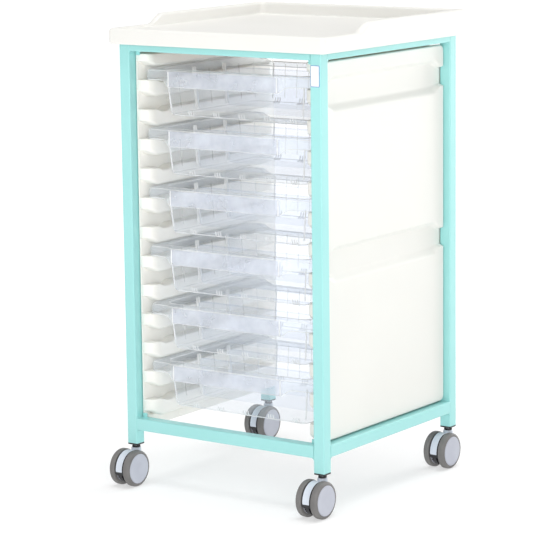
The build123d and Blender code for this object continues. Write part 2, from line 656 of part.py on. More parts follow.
def divider(rim_top, y):
    """Upright plate across the tray, following the draft of its side walls."""
    low = rim_top - TRAY_HEIGHT + TRAY_WALL + 0.3
    high = rim_top - 14.0
    gap = TRAY_WALL + 0.4

    def half_at(z):
        return BODY_HALF_WIDTH - gap - BODY_DRAFT * (rim_top - z) / TRAY_HEIGHT

    corner = 6.0
    points = [(-half_at(low) + corner, low), (half_at(low) - corner, low), (half_at(low + corner), low + corner),
              (half_at(high), high), (-half_at(high), high), (-half_at(low + corner), low + corner)]
    place = Plane(origin=(0, FRONT + y - DIVIDER_THICKNESS / 2, 0), x_dir=(1, 0, 0), z_dir=(0, -1, 0))
    return extrude(place * make_face(Polyline(*points, close=True)), DIVIDER_THICKNESS, dir=(0, 1, 0))


def divider_places():
    front = BODY_FRONT + TRAY_WALL
    spacing = (BODY_REAR - TRAY_WALL - front) / (DIVIDER_COUNT + 1)
    return [front + spacing * (index + 1) for index in range(DIVIDER_COUNT)]


def build_trays():
    first = tray(FIRST_RIM_TOP)
    plates = [divider(FIRST_RIM_TOP, y) for y in divider_places()]
    for index in range(TRAY_COUNT):
        drop = Pos(0, 0, -TRAY_PITCH * index)
        save(f"tray_{index + 1}", [drop * first])
        save(f"tray_{index + 1}_dividers", [drop * item for item in plates])


# ---- label ----
LABEL_WIDTH = 20.0
LABEL_HEIGHT = 41.0
LABEL_TOP = 887.0
LABEL_THICKNESS = 0.6


def build_label():
    x = POST_X - 0.5
    outline = RectangleRounded(LABEL_WIDTH, LABEL_HEIGHT, 1.5)
    place = Plane(origin=(x, FRONT, LABEL_TOP - LABEL_HEIGHT / 2), x_dir=(1, 0, 0), z_dir=(0, -1, 0))
    save("blank_label", [extrude(place * outline, LABEL_THICKNESS)])


build_frame()
build_liner_stop_tabs()
build_stems()
build_castors()
build_worktop()
build_sides()
build_trays()
build_label()
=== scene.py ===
import math

import bpy
from mathutils import Matrix, Vector


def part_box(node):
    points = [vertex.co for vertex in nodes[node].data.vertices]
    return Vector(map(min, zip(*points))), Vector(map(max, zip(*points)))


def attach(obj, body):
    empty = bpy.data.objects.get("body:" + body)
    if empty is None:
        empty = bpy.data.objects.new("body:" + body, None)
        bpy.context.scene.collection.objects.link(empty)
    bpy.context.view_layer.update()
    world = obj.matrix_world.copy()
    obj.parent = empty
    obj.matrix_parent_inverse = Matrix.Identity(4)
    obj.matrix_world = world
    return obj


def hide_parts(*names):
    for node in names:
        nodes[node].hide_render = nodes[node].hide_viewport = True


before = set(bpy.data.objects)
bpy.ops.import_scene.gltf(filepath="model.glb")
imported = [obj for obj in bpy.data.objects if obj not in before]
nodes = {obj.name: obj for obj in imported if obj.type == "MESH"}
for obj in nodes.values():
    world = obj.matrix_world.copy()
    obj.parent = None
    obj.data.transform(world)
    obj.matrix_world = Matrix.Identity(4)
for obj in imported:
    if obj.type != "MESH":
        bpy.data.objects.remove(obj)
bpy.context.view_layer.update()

# Lengths are millimetres: x from the middle, y back from the front face of the frame, z from the floor.
MM = 0.001
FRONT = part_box("frame_posts")[0].y
HALF_TUBE = 12.5
POST_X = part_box("frame_posts")[1].x / MM - HALF_TUBE
FRAME_DEPTH = (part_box("frame_posts")[1].y - FRONT) / MM
TRAYS = [n for n in sorted(nodes) if n.startswith("tray_") and not n.endswith("dividers")]
TRAY_TOPS = {n: round(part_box(n)[1].z / MM - 0.7, 2) for n in TRAYS}
CASTORS = {
    "front_left": (-POST_X, HALF_TUBE),
    "front_right": (POST_X, HALF_TUBE),
    "rear_left": (-POST_X, FRAME_DEPTH - HALF_TUBE),
    "rear_right": (POST_X, FRAME_DEPTH - HALF_TUBE),
}


def place(x, y, z):
    """Scene position of a point in the millimetre layout above."""
    return (x * MM, FRONT + y * MM, z * MM)


def smooth_step(t):
    t = min(max(t, 0.0), 1.0)
    return t * t * (3 - 2 * t)


# ---------------------------------------------------------------- materials
def linear(r, g, b):
    """Scene-linear RGBA from an sRGB colour in 0 to 255."""
    out = []
    for c in (r, g, b):
        c = c / 255
        out.append(c / 12.92 if c <= 0.04045 else ((c + 0.055) / 1.055) ** 2.4)
    return (out[0], out[1], out[2], 1.0)


class Maker:
    """One material's node tree, with short calls for the nodes used here."""

    def __init__(self, name):
        self.mat = bpy.data.materials.new(name)
        self.mat.use_nodes = True
        self.tree = self.mat.node_tree
        self.tree.nodes.clear()
        self.out = self.add("ShaderNodeOutputMaterial")
        self.coords = self.add("ShaderNodeTexCoord")

    def add(self, kind, **values):
        node = self.tree.nodes.new(kind)
        for key, value in values.items():
            setattr(node, key, value)
        return node

    def link(self, a, b):
        self.tree.links.new(a, b)

    def noise(self, scale, detail=3.0, stretch=(1, 1, 1), rough=0.5):
        mapping = self.add("ShaderNodeMapping")
        mapping.inputs["Scale"].default_value = stretch
        self.link(self.coords.outputs["Object"], mapping.inputs["Vector"])
        node = self.add("ShaderNodeTexNoise")
        node.inputs["Scale"].default_value = scale
        node.inputs["Detail"].default_value = detail
        node.inputs["Roughness"].default_value = rough
        self.link(mapping.outputs["Vector"], node.inputs["Vector"])
        return node.outputs["Fac"]

    def ramp(self, fac, stops):
        node = self.add("ShaderNodeValToRGB")
        ramp = node.color_ramp
        ramp.elements[0].position, ramp.elements[0].color = stops[0]
        ramp.elements[1].position, ramp.elements[1].color = stops[-1]
        for position, colour in stops[1:-1]:
            ramp.elements.new(position).color = colour
        self.link(fac, node.inputs["Fac"])
        return node.outputs["Color"]

    def span(self, value, low, high, to_low, to_high):
        node = self.add("ShaderNodeMapRange")
        for key, number in zip(("From Min", "From Max", "To Min", "To Max"), (low, high, to_low, to_high)):
            node.inputs[key].default_value = number
        self.link(value, node.inputs["Value"])
        return node.outputs["Result"]

    def bump(self, height, strength, distance):
        node = self.add("ShaderNodeBump")
        node.inputs["Strength"].default_value = strength
        node.inputs["Distance"].default_value = distance
        self.link(height, node.inputs["Height"])
        return node.outputs["Normal"]

    def math(self, kind, a, b):
        node = self.add("ShaderNodeMath", operation=kind)
        for socket, value in zip(node.inputs, (a, b)):
            if isinstance(value, (int, float)):
                socket.default_value = value
            else:
                self.link(value, socket)
        return node.outputs[0]


def surface(name, light, dark, rough, patch=9.0, grain=900.0, grain_depth=0.00003, grain_strength=0.15,
            coat=0.0, metallic=0.0, sss=0.0, specular=0.5, stretch=(1, 1, 1)):
    """Opaque moulded, painted or plated surface: slow colour drift, fine grain and uneven gloss."""
    m = Maker(name)
    shader = m.add("ShaderNodeBsdfPrincipled")
    drift = m.noise(patch, 4.0, stretch)
    fine = m.noise(grain, 2.0, stretch)
    m.link(m.ramp(drift, [(0.30, linear(*dark)), (0.70, linear(*light))]), shader.inputs["Base Color"])
    m.link(m.span(drift, 0.3, 0.7, rough - 0.05, rough + 0.05), shader.inputs["Roughness"])
    m.link(m.bump(fine, grain_strength, grain_depth), shader.inputs["Normal"])
    shader.inputs["Coat Weight"].default_value = coat
    shader.inputs["Coat Roughness"].default_value = 0.12
    shader.inputs["Metallic"].default_value = metallic
    shader.inputs["Specular IOR Level"].default_value = specular
    shader.inputs["Subsurface Weight"].default_value = sss
    shader.inputs["Subsurface Radius"].default_value = (0.004, 0.0035, 0.003)
    m.link(shader.outputs["BSDF"], m.out.inputs["Surface"])
    return m.mat


def clear_plastic(name, tint, body, haze, edge, rough, grain=300.0, grain_strength=0.08):
    """Thin clear plastic: a tinted see-through sheet, a little hazy, that turns milky at grazing angles."""
    m = Maker(name)
    through = m.add("ShaderNodeBsdfTransparent")
    through.inputs["Color"].default_value = linear(*tint)
    skin = m.add("ShaderNodeBsdfPrincipled")
    drift = m.noise(24.0, 4.0)
    fine = m.noise(grain, 3.0)
    paler = [min(255, c + 14) for c in body]
    m.link(m.ramp(drift, [(0.3, linear(*body)), (0.7, linear(*paler))]), skin.inputs["Base Color"])
    m.link(m.span(drift, 0.3, 0.7, rough - 0.03, rough + 0.05), skin.inputs["Roughness"])
    m.link(m.bump(fine, grain_strength, 0.0002), skin.inputs["Normal"])
    facing = m.add("ShaderNodeLayerWeight")
    facing.inputs["Blend"].default_value = 0.5
    rim = m.math("POWER", facing.outputs["Facing"], 4.0)
    cloud = m.span(drift, 0.3, 0.7, haze * 0.8, haze * 1.2)
    amount = m.math("ADD", m.math("MULTIPLY", rim, edge), cloud)
    mix = m.add("ShaderNodeMixShader")
    m.link(m.math("MINIMUM", amount, 0.97), mix.inputs["Fac"])
    m.link(through.outputs["BSDF"], mix.inputs[1])
    m.link(skin.outputs["BSDF"], mix.inputs[2])
    m.link(mix.outputs["Shader"], m.out.inputs["Surface"])
    return m.mat


FRAME_PAINT = surface("frame_powder_coat", (162, 222, 220), (154, 217, 215), 0.38, patch=5.0, grain=1400.0,
                      grain_strength=0.10, coat=0.25)
TOP_WHITE = surface("worktop_white", (233, 232, 228), (229, 228, 223), 0.42, patch=4.0, grain=1600.0,
                    grain_strength=0.12, sss=0.05)
PANEL_WHITE = surface("side_panel_white", (230, 230, 225), (226, 226, 221), 0.45, patch=3.5, grain=1300.0,
                      grain_strength=0.14, sss=0.05)
LINER_WHITE = surface("liner_white", (242, 241, 236), (236, 235, 229), 0.40, patch=12.0, grain=900.0,
                      grain_strength=0.12, sss=0.08)
CLEAR = clear_plastic("tray_clear", (251, 252, 254), (236, 240, 247), 0.06, 0.25, 0.10)
CLEAR_RIM = clear_plastic("tray_rim", (251, 252, 253), (240, 243, 249), 0.15, 0.22, 0.12)
CLEAR_FLOOR = clear_plastic("tray_floor", (251, 252, 253), (238, 241, 248), 0.18, 0.20, 0.14)
CLEAR_RIB = clear_plastic("tray_rib", (252, 252, 251), (246, 247, 248), 0.13, 0.25, 0.12)
# Milky edge material: partly the denser look of the thicker plastic, partly painted highlight along the tray's
# edges.
EDGE_MILK_AND_HIGHLIGHT = clear_plastic("tray_milky_edge_and_highlight", (251, 251, 250), (250, 250, 249), 0.62, 0.20, 0.16)
FROSTED = clear_plastic("tray_handle_frosted", (248, 249, 250), (224, 228, 238), 0.30, 0.30, 0.32, grain=1200.0,
                        grain_strength=0.2)
DIVIDER = clear_plastic("divider_clear", (251, 252, 254), (240, 243, 248), 0.06, 0.22, 0.10)
TYRE = surface("tyre_grey", (122, 120, 119), (108, 106, 105), 0.62, patch=40.0, grain=1500.0,
               grain_strength=0.3)
HUB = surface("castor_lilac_grey", (189, 192, 203), (179, 182, 194), 0.38, patch=25.0, grain=1600.0,
              grain_strength=0.15)
HOOD = surface("castor_pale_band", (214, 221, 231), (203, 210, 222), 0.35, patch=30.0, grain=1500.0,
               grain_strength=0.12)
BLACK = surface("black_plastic", (38, 38, 42), (24, 24, 27), 0.42, patch=60.0, grain=1500.0, grain_strength=0.2)
STEEL = surface("zinc_plated_steel", (200, 202, 205), (165, 167, 172), 0.30, patch=90.0, grain=2500.0,
                grain_strength=0.1, metallic=1.0)
BOARD = surface("core_chipboard", (196, 168, 128), (150, 118, 82), 0.80, patch=260.0, grain=700.0,
                grain_strength=0.5)
LABEL_WHITE = surface("label_white_film", (246, 248, 252), (240, 243, 248), 0.25, patch=30.0, grain=900.0,
                      grain_strength=0.05)
LABEL_BLUE = surface("label_blue_border", (92, 120, 196), (78, 106, 186), 0.30, patch=60.0, grain=900.0,
                     grain_strength=0.05)


# ---------------------------------------------------------------- mesh helpers
def piece(name, verts, faces, material, body, slot=None, stands_for=(), sharp=35.0, extra=(), face_slots=None):
    """A mesh object made from millimetre points, that rides on a CAD body."""
    mesh = bpy.data.meshes.new(name)
    mesh.from_pydata([place(*v) for v in verts], [], faces)
    mesh.validate()
    mesh.materials.append(material)
    for other in extra:
        mesh.materials.append(other)
    if face_slots:
        mesh.polygons.foreach_set("material_index", face_slots)
    mesh.polygons.foreach_set("use_smooth", [True] * len(mesh.polygons))
    mesh.set_sharp_from_angle(angle=math.radians(sharp))
    mesh.update()
    obj = bpy.data.objects.new(name, mesh)
    bpy.context.scene.collection.objects.link(obj)
    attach(obj, body)
    if stands_for:
        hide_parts(*stands_for)
    return obj


def skin(rings, cap_start=True, cap_end=True, closed=True):
    """Faces between successive rings of equally many points."""
    count = len(rings[0])
    verts = [point for ring in rings for point in ring]
    faces = []
    last = count if closed else count - 1
    for i in range(len(rings) - 1):
        for j in range(last):
            k = (j + 1) % count
            faces.append((i * count + j, i * count + k, (i + 1) * count + k, (i + 1) * count + j))
    if cap_start:
        faces.append(tuple(reversed(range(count))))
    if cap_end:
        start = (len(rings) - 1) * count
        faces.append(tuple(range(start, start + count)))
    return verts, faces


def merged(parts):
    """Several (verts, faces) as one."""
    verts, faces = [], []
    for v, f in parts:
        base = len(verts)
        verts.extend(v)
        faces.extend(tuple(base + i for i in face) for face in f)
    return verts, faces


def flipped(part):
    verts, faces = part
    return [(-x, y, z) for x, y, z in verts], [tuple(reversed(f)) for f in faces]


def slab(x0, x1, y0, y1, z0, z1, edge):
    """Box with small rounded edges, made of stacked rounded outlines."""
    rings = []
    steps = 3
    span = [(edge * (1 - math.sin(a)), -edge * math.cos(a)) for a in
            [math.pi / 2 * i / steps for i in range(steps + 1)]]
    levels = [(inset, z0 + edge + rise) for inset, rise in span]
    levels += [(inset, z1 - edge - rise) for inset, rise in reversed(span)]
    for inset, z in levels:
        ring = []
        for cx, cy, start in ((x1, y0, -90), (x1, y1, 0), (x0, y1, 90), (x0, y0, 180)):
            sx = 1 if cx == x1 else -1
            sy = 1 if cy == y1 else -1
            for i in range(steps + 1):
                a = math.radians(start + 90 * i / steps)
                reach = edge - inset
                ring.append((cx - sx * edge + reach * math.cos(a), cy - sy * edge + reach * math.sin(a), z))
        rings.append(ring)
    return skin(rings)


def endless_skin(rings):
    """Faces between closed rings that follow one another round to the first again."""
    count = len(rings[0])
    verts = [point for ring in rings for point in ring]
    faces = []
    for i in range(len(rings)):
        k = (i + 1) % len(rings)
        for j in range(count):
            n = (j + 1) % count
            faces.append((i * count + j, i * count + n, k * count + n, k * count + j))
    return verts, faces


def turned(profile, cx, cy, cz, segments=64):
    """Surface of revolution about an axis along X; profile is a closed list of (x, radius)."""
    rings = []
    for i in range(segments):
        a = 2 * math.pi * i / segments
        rings.append([(cx + px, cy + r * math.cos(a), cz + r * math.sin(a)) for px, r in profile])
    return endless_skin(rings)


def arc(cx, cy, radius, start, end, steps):
    out = []
    for i in range(steps + 1):
        a = math.radians(start + (end - start) * i / steps)
        out.append((cx + radius * math.cos(a), cy + radius * math.sin(a)))
    return out


LONG_POINTS, SIDE_POINTS, CORNER_POINTS = 72, 40, 8


def plan_loop(half, y0, y1, radius, z):
    """Closed rounded rectangle from the front left round by the right, always with as many points."""
    loop = []

    def run(ax, ay, bx, by, count):
        for i in range(count):
            t = i / count
            loop.append((ax + (bx - ax) * t, ay + (by - ay) * t, z))

    def corner(cx, cy, start):
        for i in range(CORNER_POINTS):
            a = math.radians(start + 90 * i / CORNER_POINTS)
            loop.append((cx + radius * math.cos(a), cy + radius * math.sin(a), z))

    inner = half - radius
    run(-inner, y0, inner, y0, LONG_POINTS)
    corner(inner, y0 + radius, -90)
    run(half, y0 + radius, half, y1 - radius, SIDE_POINTS)
    corner(inner, y1 - radius, 0)
    run(inner, y1, -inner, y1, LONG_POINTS)
    corner(-inner, y1 - radius, 90)
    run(-half, y1 - radius, -half, y0 + radius, SIDE_POINTS)
    corner(-inner, y0 + radius, 180)
    return loop


# ---------------------------------------------------------------- worktop
SKIRT_BOTTOM, RIM_TOP, WELL_FLOOR, LIP_TOP = 910.0, 942.0, 937.0, 962.0
TOP_HALF, TOP_FRONT, TOP_BACK, TOP_CORNER = 262.0, -15.0, FRAME_DEPTH + 15.0, 8.0
LIP_WIDTH, LIP_START, LIP_FULL, RIM_ROUNDING = 18.0, 108.0, 154.0, 7.0


def lip_share(y):
    """0 along the low front edge, and 1 where the raised lip has its full height."""
    return smooth_step((y - LIP_START) / (LIP_FULL - LIP_START))


def worktop():
    """One moulded shell: skirt, rounded rim, raised lip with sloping front ends, and the sunk floor."""
    stations = [(4.0, lambda h: WELL_FLOOR - 4)]
    for inset, rise in ((4.0, 1.5), (3.4, 0.4), (2.4, 0.0), (1.0, 0.4), (0.2, 1.6), (0.0, 4.0), (0.0, 14.0)):
        stations.append((inset, lambda h, r=rise: SKIRT_BOTTOM + r))
    for i in range(7):
        a = math.radians(15 * i)
        inset = RIM_ROUNDING * (1 - math.cos(a))
        drop = RIM_ROUNDING * (1 - math.sin(a))
        stations.append((inset, lambda h, d=drop: RIM_TOP + (LIP_TOP - RIM_TOP) * h - d))
    for i in range(6):
        a = math.radians(18 * i)
        reach = math.sin(a)
        fall = 1 - math.cos(a)
        stations.append((LIP_WIDTH - 5.5 + 5.0 * reach, lambda h, f=fall:
                         RIM_TOP + (LIP_TOP - RIM_TOP) * h - f * (2.8 + 3.0 * h)))
    for i in range(1, 7):
        a = math.radians(15 * i)
        inset = LIP_WIDTH - 0.5 + 3.0 * (1 - math.cos(a))
        stations.append((inset, lambda h, s=math.sin(a):
                         WELL_FLOOR + (2.2 + 2.0 * h) * (1 - s)))
    stations.append((LIP_WIDTH + 12, lambda h: WELL_FLOOR))
    rings = []
    for inset, level in stations:
        radius = TOP_CORNER + inset * 0.25
        base = plan_loop(TOP_HALF - inset, TOP_FRONT + inset * 0.72, TOP_BACK - inset, radius, 0.0)
        rings.append([(x, y, level(lip_share(y))) for x, y, _ in base])
    return skin(rings)


piece("worktop_moulding", *worktop(), TOP_WHITE, "cabinet", "white_plastic", ["worktop_shell"], sharp=50)


# ---------------------------------------------------------------- side panels
PANEL_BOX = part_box("side_panel_right")
PANEL_Y0 = (PANEL_BOX[0].y - FRONT) / MM
PANEL_Y1 = (PANEL_BOX[1].y - FRONT) / MM
PANEL_Z0, PANEL_Z1 = PANEL_BOX[0].z / MM, PANEL_BOX[1].z / MM
PANEL_BACK, PANEL_FACE = PANEL_BOX[0].x / MM, PANEL_BOX[1].x / MM
PANEL_CORNER = 12.0
TROUGHS = (826.5, 491.5)
TROUGH_HALF, NECK_HALF, TROUGH_DEPTH = 36.5, 20.5, 10.0


def trough_depth(y, z):
    """How far the face is pressed in: a long trough whose ends neck down and run out through the edges."""
    middle = (PANEL_Y0 + PANEL_Y1) / 2
    from_end = (PANEL_Y1 - PANEL_Y0) / 2 - abs(y - middle)
    wide = smooth_step((from_end - 9.0) / 32.0)
    half = NECK_HALF + (TROUGH_HALF - NECK_HALF) * wide
    upper_wall = 4.0 + 7.0 * wide
    lower_wall = 5.0 + 13.0 * wide
    depth = 0.0
    for centre in TROUGHS:
        top = smooth_step((centre + half - z) / upper_wall)
        low = smooth_step((z - (centre - half)) / lower_wall)
        depth = max(depth, TROUGH_DEPTH * top * low)
    return depth


def spaced(low, high, near, step, lines):
    """Grid lines between two edges: close together at the edges and at the given places."""
    marks = {low, high}
    for offset in near:
        marks.add(low + offset)
        marks.add(high - offset)
    for centre, reach, fine in lines:
        count = int(reach / fine)
        for i in range(-count, count + 1):
            marks.add(centre + i * fine)
    count = int((high - low) / step)
    for i in range(1, count):
        value = low + (high - low) * i / count
        if min(abs(value - mark) for mark in marks) > step * 0.35:
            marks.add(value)
    return sorted(mark for mark in marks if low <= mark <= high)


def side_panel():
    """Right-hand panel as one height field with rounded corners and edges, closed by walls and a back."""
    edge = 3.2
    near = [0.25, 0.7, 1.3, 2.0, 2.6, 3.2, 4.5, 6.5, 9.0, 12.0]
    ends = [(PANEL_Y0 + 25, 18, 3.0), (PANEL_Y1 - 25, 18, 3.0)]
    walls = []
    for centre in TROUGHS:
        walls += [(centre + TROUGH_HALF - 9, 13, 1.6), (centre - TROUGH_HALF + 12, 16, 2.0)]
    ys = spaced(PANEL_Y0, PANEL_Y1, near, 8.0, ends)
    zs = spaced(PANEL_Z0, PANEL_Z1, near, 9.0, walls)
    verts = []
    border = {}
    for i, y in enumerate(ys):
        for j, z in enumerate(zs):
            inside_y = min(y - PANEL_Y0, PANEL_Y1 - y)
            inside_z = min(z - PANEL_Z0, PANEL_Z1 - z)
            py, pz = y, z
            gap = min(inside_y, inside_z)
            if inside_y < PANEL_CORNER and inside_z < PANEL_CORNER:
                ay, az = PANEL_CORNER - inside_y, PANEL_CORNER - inside_z
                reach = math.hypot(ay, az)
                square = max(ay, az)
                scale = square / reach if reach else 1.0
                sy = -1 if y < (PANEL_Y0 + PANEL_Y1) / 2 else 1
                sz = -1 if z < (PANEL_Z0 + PANEL_Z1) / 2 else 1
                cy = PANEL_Y0 + PANEL_CORNER if sy < 0 else PANEL_Y1 - PANEL_CORNER
                cz = PANEL_Z0 + PANEL_CORNER if sz < 0 else PANEL_Z1 - PANEL_CORNER
                py = cy + sy * ay * scale
                pz = cz + sz * az * scale
                gap = PANEL_CORNER - square
            fall = 0.0
            if gap < edge:
                fall = edge - math.sqrt(max(edge * edge - (edge - gap) ** 2, 0.0))
            verts.append((PANEL_FACE - fall - trough_depth(y, z) * (1.0 if gap > 0.2 else 0.97), py, pz))
            border[(i, j)] = len(verts) - 1
    faces = []
    rows, columns = len(ys), len(zs)
    for i in range(rows - 1):
        for j in range(columns - 1):
            faces.append((border[(i, j)], border[(i + 1, j)], border[(i + 1, j + 1)], border[(i, j + 1)]))
    edge_loop = [border[(i, 0)] for i in range(rows)]
    edge_loop += [border[(rows - 1, j)] for j in range(1, columns)]
    edge_loop += [border[(i, columns - 1)] for i in range(rows - 2, -1, -1)]
    edge_loop += [border[(0, j)] for j in range(columns - 2, 0, -1)]
    start = len(verts)
    for index in edge_loop:
        _, y, z = verts[index]
        verts.append((PANEL_BACK, y, z))
    count = len(edge_loop)
    for i in range(count):
        k = (i + 1) % count
        faces.append((edge_loop[k], edge_loop[i], start + i, start + k))
    faces.append(tuple(start + i for i in range(count)))
    return verts, faces


right_panel = side_panel()
piece("side_panel_right_moulding", *right_panel, PANEL_WHITE, "cabinet", "white_plastic", ["side_panel_right"],
      sharp=50)
piece("side_panel_left_moulding", *flipped(right_panel), PANEL_WHITE, "cabinet", "white_plastic",
      ["side_panel_left"], sharp=50)


# ---------------------------------------------------------------- runner liners
LINER_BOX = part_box("runner_liner_right")
LINER_OUT, RIDGE_FACE = LINER_BOX[1].x / MM, LINER_BOX[0].x / MM
LINER_Y0, LINER_Y1 = (LINER_BOX[0].y - FRONT) / MM, (LINER_BOX[1].y - FRONT) / MM
LINER_Z0, LINER_Z1 = LINER_BOX[0].z / MM, LINER_BOX[1].z / MM
RIDGE_HEIGHT, SLOT_PITCH, RIDGE_COUNT, RIDGE_REAR = 35.0, 60.0, 12, 452.0
CAP_RIDGE_HEIGHT, RIDGE_BELOW_RIM = 26.5, 22.5
LEAD_IN_LENGTH, LEAD_IN_RISE = 30.0, 12.0
FOOT_DEPTH, FOOT_TOP, FOOT_CORNER = 16.0, 144.0, 12.0
FIXING_HOLE_Z, FIXING_HOLES_Y = 131.0, (114.0, 393.0)
FIRST_RIDGE_TOP = max(TRAY_TOPS.values()) - RIDGE_BELOW_RIM


def ridge(z0, z1, reach, front_radius=26.0, rear_radius=9.0, low=7.0, high=3.5, dip=6.0):
    """Tongue of the right-hand liner: it swells from its front end to full depth, with a lead-in below that
    end and a shallow notch in its top behind the nose."""
    stations = []
    for i in range(11):
        a = math.radians(90 * i / 10)
        stations.append((LINER_Y0 + front_radius * (1 - math.cos(a)), reach - front_radius * (1 - math.sin(a))))
    for i in range(1, 13):
        stations.append((LINER_Y0 + front_radius + 5.0 * i, reach))
    stations.append((RIDGE_REAR - rear_radius - 40, reach))
    for i in range(7):
        a = math.radians(90 - 15 * i)
        stations.append((RIDGE_REAR - rear_radius * (1 - math.cos(a)), reach - rear_radius * (1 - math.sin(a))))
    rings = []
    for y, depth in stations:
        depth = max(depth, 3.6)
        share = min(depth / reach, 1.0)
        r_low, r_high = low * share, high * share
        lead_in = LEAD_IN_RISE * (1 - smooth_step((y - LINER_Y0) / LEAD_IN_LENGTH))
        notch = dip * smooth_step((y - 44.0) / 22.0) * (1 - smooth_step((y - 78.0) / 22.0))
        bottom, top = z0 + lead_in, z1 - notch
        section = [(3.0, bottom)]
        section += arc(depth - r_low, bottom + r_low, r_low, -90, 0, 6)
        section += arc(depth - r_high, top - r_high, r_high, 0, 90, 5)
        section.append((3.0, top))
        rings.append([(LINER_OUT - p, y, z) for p, z in section])
    verts, faces = skin(rings)
    return verts, faces


def back_sheet():
    """Thin back of the liner with a rounded front edge."""
    return slab(LINER_OUT - 3.0, LINER_OUT, LINER_Y0, LINER_Y1 + 8.0, 142.0, LINER_Z1, 1.2)


def foot():
    """Bottom block of the liner, with rounded upright corners."""
    rings = []
    z0, z1 = LINER_Z0, FOOT_TOP
    front, back = LINER_Y0 + 7.5, LINER_Y1 - 6.0
    for inset, z in ((3, z0), (0.8, z0 + 0.8), (0, z0 + 3), (0, z1 - 2), (1.0, z1)):
        turns = [(math.sin(a), math.cos(a)) for a in [math.pi / 2 * i / 6 for i in range(7)]]
        face = LINER_OUT - FOOT_DEPTH + FOOT_CORNER + inset
        round_by = FOOT_CORNER - inset
        y0, y1 = front + FOOT_CORNER, back - FOOT_CORNER
        outline = [(LINER_OUT, front)]
        outline += [(face - FOOT_CORNER * sine, y0 - round_by * cosine) for sine, cosine in turns]
        outline += [(face - FOOT_CORNER * cosine, y1 + round_by * sine) for sine, cosine in turns]
        outline.append((LINER_OUT, back))
        rings.append([(x, y, z) for x, y in outline])
    return skin(rings)


def liner_parts():
    parts = [back_sheet(), foot()]
    reach = LINER_OUT - RIDGE_FACE
    cap_top = LINER_Z1 - 0.5
    parts.append(ridge(cap_top - CAP_RIDGE_HEIGHT, cap_top, reach, high=3.0, dip=0.0))
    for index in range(RIDGE_COUNT):
        top = FIRST_RIDGE_TOP - SLOT_PITCH * index
        parts.append(ridge(top - RIDGE_HEIGHT, top, reach))
    return merged(parts)


right_liner = liner_parts()
piece("runner_liner_right_moulding", *right_liner, LINER_WHITE, "cabinet", "liner_plastic",
      ["runner_liner_right"], sharp=60)
piece("runner_liner_left_moulding", *flipped(right_liner), LINER_WHITE, "cabinet", "liner_plastic",
      ["runner_liner_left"], sharp=60)


def fixing_ring(y):
    """Painted rail seen through a fixing hole of the foot: a dished ring and the paint inside it."""
    face = LINER_OUT - FOOT_DEPTH
    rings = []
    for depth, radius in ((-0.3, 7.2), (-0.5, 6.6), (0.2, 6.0), (1.0, 5.8)):
        rings.append([(face + depth, y + radius * math.cos(a), FIXING_HOLE_Z + radius * math.sin(a))
                      for a in [2 * math.pi * i / 24 for i in range(24)]])
    return skin(rings, cap_start=False)


hole_parts = merged([fixing_ring(y) for y in FIXING_HOLES_Y])
hole_faces = [1 if len(face) > 4 else 0 for face in hole_parts[1]]
piece("liner_fixing_right", *hole_parts, LINER_WHITE, "cabinet", "liner_plastic", extra=[FRAME_PAINT],
      face_slots=hole_faces)
piece("liner_fixing_left", *flipped(hole_parts), LINER_WHITE, "cabinet", "liner_plastic", extra=[FRAME_PAINT],
      face_slots=hole_faces)


# ---------------------------------------------------------------- trays
RIM_HALF, RIM_FRONT, RIM_REAR, RIM_CORNER = 204.0, 28.0, 375.0, 14.0
BODY_HALF, BODY_FRONT, BODY_REAR, BODY_CORNER = 176.0, 49.0, 364.0, 19.0
TRAY_HEIGHT, BODY_DRAFT, SKIRT = 97.0, 9.0, 22.0
FLOOR_ROUNDING, RIM_ROLL, CRISP_ROLL = 11.0, 8.0, 2.4
HANDLE_FRONT, HANDLE_FLAT, HANDLE_ROOT, HANDLE_DROP = 13.0, 131.0, 166.0, 33.0
REAR_DIP, DIP_HALF = 10.0, 156.0
REAR_RIBS_X, STRONG_RIB_X, SIDE_RIBS_Y = (-90, -60, -30, 0, 30, 60, 90), 120, (101, 206, 310)
FLOOR_STROKES_X = (-107, -45, 17, 79, 141)


def handle_share(x):
    """1 across the flat middle of the pull lip and 0 beyond its shoulders."""
    return 1 - smooth_step((abs(x) - HANDLE_FLAT) / (HANDLE_ROOT - HANDLE_FLAT))


def rim_ring(inset, z, drop_share=0.0):
    """Loop round the rim, bulging forwards over the pull lip and dipping at the back."""
    base = plan_loop(RIM_HALF - inset, RIM_FRONT + inset, RIM_REAR - inset, RIM_CORNER - inset * 0.5, z)
    ring = []
    for x, y, level in base:
        if y < RIM_FRONT + inset + 0.5:
            share = handle_share(x)
            y -= (RIM_FRONT - HANDLE_FRONT) * share
            edge = 1 - smooth_step((abs(x) - HANDLE_FLAT - 2.0) / 18.0)
            level -= (HANDLE_DROP - SKIRT) * drop_share * edge
            level += 0.6 * share * (1 - drop_share)
        elif y > RIM_REAR - inset - 0.5:
            level -= REAR_DIP * (1 - drop_share) * (1 - smooth_step((abs(x) - DIP_HALF + 8) / 8.0))
        ring.append((x, y, level))
    return ring


def rolled_ring(angle):
    """One loop of the rim's rounded outer edge: a wide roll at the sides and corners, crisp elsewhere."""
    ring = []
    wide = rim_ring(RIM_ROLL * (1 - math.cos(angle)), 0.0)
    crisp = rim_ring(CRISP_ROLL * (1 - math.cos(angle)), 0.0)
    for a, b in zip(wide, crisp):
        share = 1.0
        if a[1] < RIM_FRONT + 9.0:
            share = 1 - handle_share(a[0])
        elif a[1] > RIM_REAR - 16.0:
            share = 0.0
        level = b[2] - (CRISP_ROLL + (RIM_ROLL - CRISP_ROLL) * share) * (1 - math.sin(angle))
        ring.append((b[0] + (a[0] - b[0]) * share, b[1] + (a[1] - b[1]) * share, level))
    return ring


